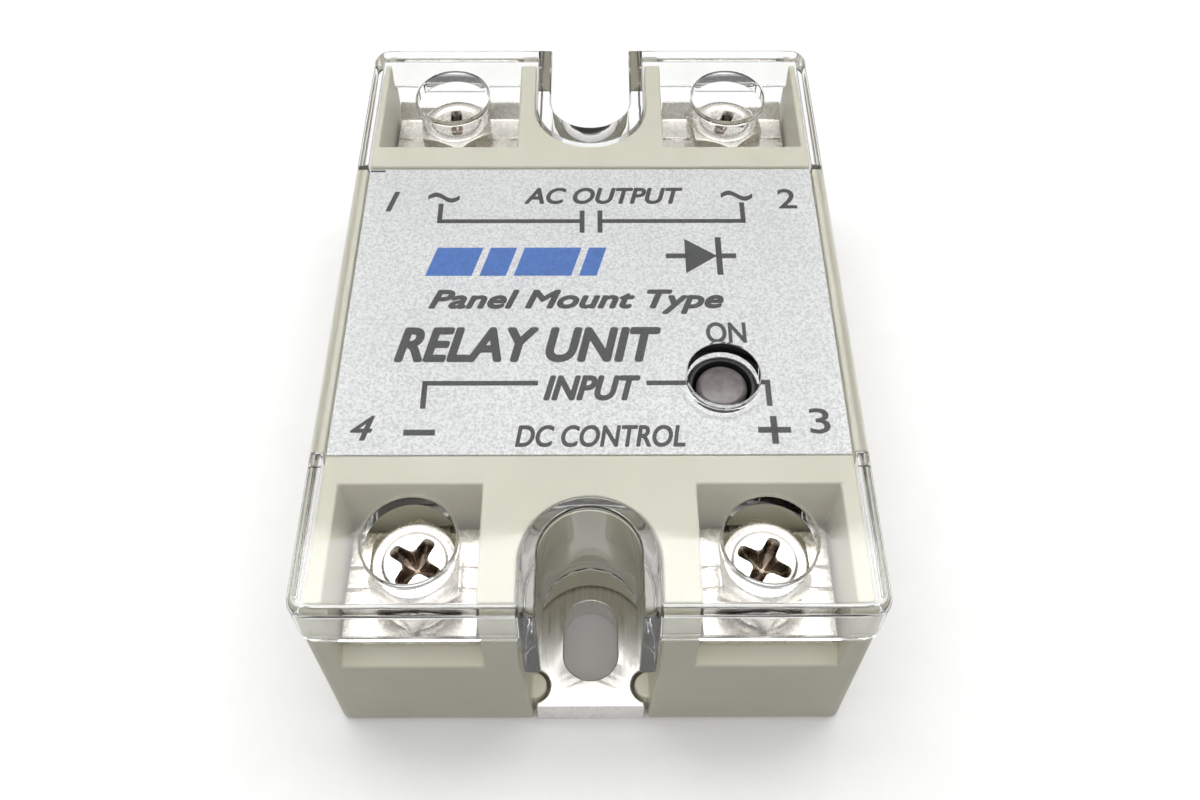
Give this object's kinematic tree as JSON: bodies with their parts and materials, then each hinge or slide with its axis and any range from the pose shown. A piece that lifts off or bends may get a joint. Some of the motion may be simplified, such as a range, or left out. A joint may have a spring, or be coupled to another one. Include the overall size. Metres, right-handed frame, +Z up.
{
  "type": "solid state relay",
  "caption": "Panel-mount solid state relay: ivory housing on a metal base plate, clear lift-off cover, screw terminals with rising clamps, indicator lamp.",
  "frame": {"origin": "centre of the footprint, at the underside of the base plate", "axes": "+Y along the relay's length, from the input end to the output end; +Z up, away from the mounting surface; +X to the right, on the lamp's side"},
  "size_m": [0.0448, 0.0624, 0.0238],
  "materials": {
    "housing_plastic": "fine moulded texture, ivory",
    "clear_plastic": "clear polished polycarbonate",
    "label_film": "silver film with a fine grain, printed",
    "black_plastic": "satin black",
    "lamp_lens": "smoked, diffused",
    "terminal_nickel": "nickel plated, satin",
    "plate_metal": "bright, brushed",
    "nut_brass": "turned",
    "copper": "rolled copper",
    "ceramic": "white alumina, matte",
    "silicon": "grey silicon",
    "board_laminate": "green solder mask",
    "potting_resin": "black resin",
    "resistor_coat": "lacquered",
    "capacitor_case": "moulded case"
  },
  "bodies": {
    "relay": {"housing": "housing_plastic", "base_plate": "plate_metal", "face_label": "label_film", "led_bezel": "black_plastic", "led_lamp": "lamp_lens", "led_spacer": "black_plastic", "terminal_plate_1": "terminal_nickel", "terminal_plate_2": "terminal_nickel", "terminal_plate_3": "terminal_nickel", "terminal_plate_4": "terminal_nickel", "terminal_nut_1": "nut_brass", "terminal_nut_2": "nut_brass", "terminal_nut_3": "nut_brass", "terminal_nut_4": "nut_brass", "ceramic_substrate": "ceramic", "copper_pad_1": "copper", "copper_pad_2": "copper", "thyristor_chip_1": "silicon", "thyristor_chip_2": "silicon", "thyristor_strap_1": "copper", "thyristor_strap_2": "copper", "gate_lead_1": "terminal_nickel", "gate_lead_2": "terminal_nickel", "potting_block": "potting_resin", "circuit_board": "board_laminate", "optocoupler": "black_plastic", "input_resistor": "resistor_coat", "input_diode": "black_plastic", "driver_transistor": "black_plastic", "input_capacitor": "potting_resin", "gate_resistor": "resistor_coat", "snubber_resistor": "resistor_coat", "snubber_capacitor": "capacitor_case"},
    "cover": {"clear_cover": "clear_plastic"},
    "clamp_1": {"terminal_clamp_1": "terminal_nickel", "lock_washer_1": "terminal_nickel"},
    "clamp_2": {"terminal_clamp_2": "terminal_nickel", "lock_washer_2": "terminal_nickel"},
    "clamp_3": {"terminal_clamp_3": "terminal_nickel", "lock_washer_3": "terminal_nickel"},
    "clamp_4": {"terminal_clamp_4": "terminal_nickel", "lock_washer_4": "terminal_nickel"},
    "screw_1": {"terminal_screw_1": "terminal_nickel"},
    "screw_2": {"terminal_screw_2": "terminal_nickel"},
    "screw_3": {"terminal_screw_3": "terminal_nickel"},
    "screw_4": {"terminal_screw_4": "terminal_nickel"}
  },
  "joints": [
    {"name": "cover_lift", "type": "slide", "parent": "relay", "child": "cover", "axis": [0, 0, 1], "range_m": [0, 0.03]},
    {"name": "clamp_1_lift", "type": "slide", "parent": "relay", "child": "clamp_1", "axis": [0, 0, 1], "range_m": [0, 0.0021]},
    {"name": "clamp_2_lift", "type": "slide", "parent": "relay", "child": "clamp_2", "axis": [0, 0, 1], "range_m": [0, 0.0021]},
    {"name": "clamp_3_lift", "type": "slide", "parent": "relay", "child": "clamp_3", "axis": [0, 0, 1], "range_m": [0, 0.0021]},
    {"name": "clamp_4_lift", "type": "slide", "parent": "relay", "child": "clamp_4", "axis": [0, 0, 1], "range_m": [0, 0.0021]},
    {"name": "screw_1_turn", "type": "hinge", "parent": "clamp_1", "child": "screw_1", "pos_m": [-0.0138, 0.02394, 0.0186], "axis": [0, 0, 1], "range_deg": [0, 1080]},
    {"name": "screw_2_turn", "type": "hinge", "parent": "clamp_2", "child": "screw_2", "pos_m": [0.0138, 0.02394, 0.0186], "axis": [0, 0, 1], "range_deg": [0, 1080]},
    {"name": "screw_3_turn", "type": "hinge", "parent": "clamp_3", "child": "screw_3", "pos_m": [0.01372, -0.0251, 0.0186], "axis": [0, 0, 1], "range_deg": [0, 1080]},
    {"name": "screw_4_turn", "type": "hinge", "parent": "clamp_4", "child": "screw_4", "pos_m": [-0.01372, -0.0251, 0.0186], "axis": [0, 0, 1], "range_deg": [0, 1080]}
  ],
  "couplings": [
    {"joint": "screw_1_turn", "follows": "clamp_1_lift", "rad_per_m": 8975},
    {"joint": "screw_2_turn", "follows": "clamp_2_lift", "rad_per_m": 8975},
    {"joint": "screw_3_turn", "follows": "clamp_3_lift", "rad_per_m": 8975},
    {"joint": "screw_4_turn", "follows": "clamp_4_lift", "rad_per_m": 8975}
  ]
}
